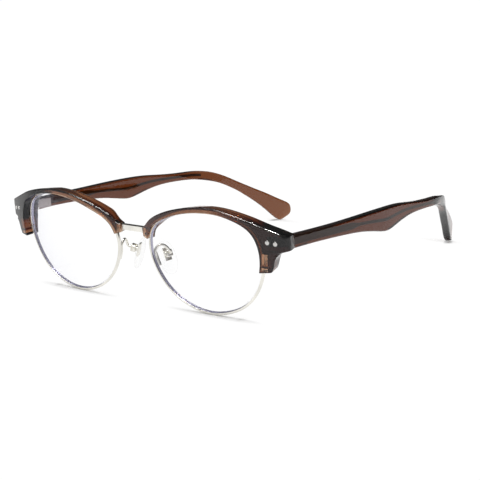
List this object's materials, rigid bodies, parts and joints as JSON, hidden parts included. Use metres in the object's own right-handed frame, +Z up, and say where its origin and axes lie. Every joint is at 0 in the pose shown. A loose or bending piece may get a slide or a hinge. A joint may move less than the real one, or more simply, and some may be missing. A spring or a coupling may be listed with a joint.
{
  "type": "eyeglasses",
  "caption": "Semi-rimless browline eyeglasses: translucent brow pieces over thin metal rims, clear lenses, riveted endpieces, folding temples with wire cores, adjustable nose pads on arms",
  "frame": {"origin": "middle of the bounding box in X and Y, at the height of the table the rims and temple tips stand on", "axes": "+Y to the back along the temples, +X to the wearer's left, +Z up; the front faces -Y"},
  "size_m": [0.1398, 0.1416, 0.0393],
  "materials": {
    "brown_acetate": "polished translucent brown crystal acetate",
    "silver_metal": "satin silver with a faint champagne tone",
    "clear_lens": "clear, coated, polished edge in the rim groove",
    "clear_silicone": "clear soft silicone"
  },
  "bodies": {
    "front": {"bridge": "silver_metal", "brow_left": "brown_acetate", "rim_left": "silver_metal", "lens_left": "clear_lens", "closing_block_upper_left": "silver_metal", "closing_block_lower_left": "silver_metal", "closing_screw_left": "silver_metal", "brow_screw_left": "silver_metal", "front_hinge_leaf_left": "silver_metal", "hinge_screw_left": "silver_metal", "stud_outer_left": "silver_metal", "stud_inner_left": "silver_metal", "pad_arm_left": "silver_metal", "pad_box_left": "silver_metal", "pad_screw_left": "silver_metal", "brow_right": "brown_acetate", "rim_right": "silver_metal", "lens_right": "clear_lens", "closing_block_upper_right": "silver_metal", "closing_block_lower_right": "silver_metal", "closing_screw_right": "silver_metal", "brow_screw_right": "silver_metal", "front_hinge_leaf_right": "silver_metal", "hinge_screw_right": "silver_metal", "stud_outer_right": "silver_metal", "stud_inner_right": "silver_metal", "pad_arm_right": "silver_metal", "pad_box_right": "silver_metal", "pad_screw_right": "silver_metal"},
    "temple_left": {"temple_left": "brown_acetate", "temple_hinge_leaf_left": "silver_metal", "core_wire_left": "silver_metal"},
    "pad_left": {"nose_pad_left": "clear_silicone", "pad_insert_left": "silver_metal"},
    "temple_right": {"temple_right": "brown_acetate", "temple_hinge_leaf_right": "silver_metal", "core_wire_right": "silver_metal"},
    "pad_right": {"nose_pad_right": "clear_silicone", "pad_insert_right": "silver_metal"}
  },
  "joints": [
    {"name": "temple_hinge_left", "type": "hinge", "parent": "front", "child": "temple_left", "pos_m": [0.06291, -0.05935, 0.02886], "axis": [0, 0.0523, 0.9986], "range_deg": [0, 82]},
    {"name": "temple_hinge_right", "type": "hinge", "parent": "front", "child": "temple_right", "pos_m": [-0.06291, -0.05935, 0.02886], "axis": [0, -0.0523, -0.9986], "range_deg": [0, 68]},
    {"name": "pad_pivot_left", "type": "hinge", "parent": "front", "child": "pad_left", "pos_m": [0.00896, -0.05898, 0.01777], "axis": [-0.3771, -0.9159, -0.1373], "range_deg": [-10, 10]},
    {"name": "pad_pivot_right", "type": "hinge", "parent": "front", "child": "pad_right", "pos_m": [-0.00896, -0.05898, 0.01777], "axis": [0.3771, -0.9159, -0.1373], "range_deg": [-10, 10]}
  ]
}
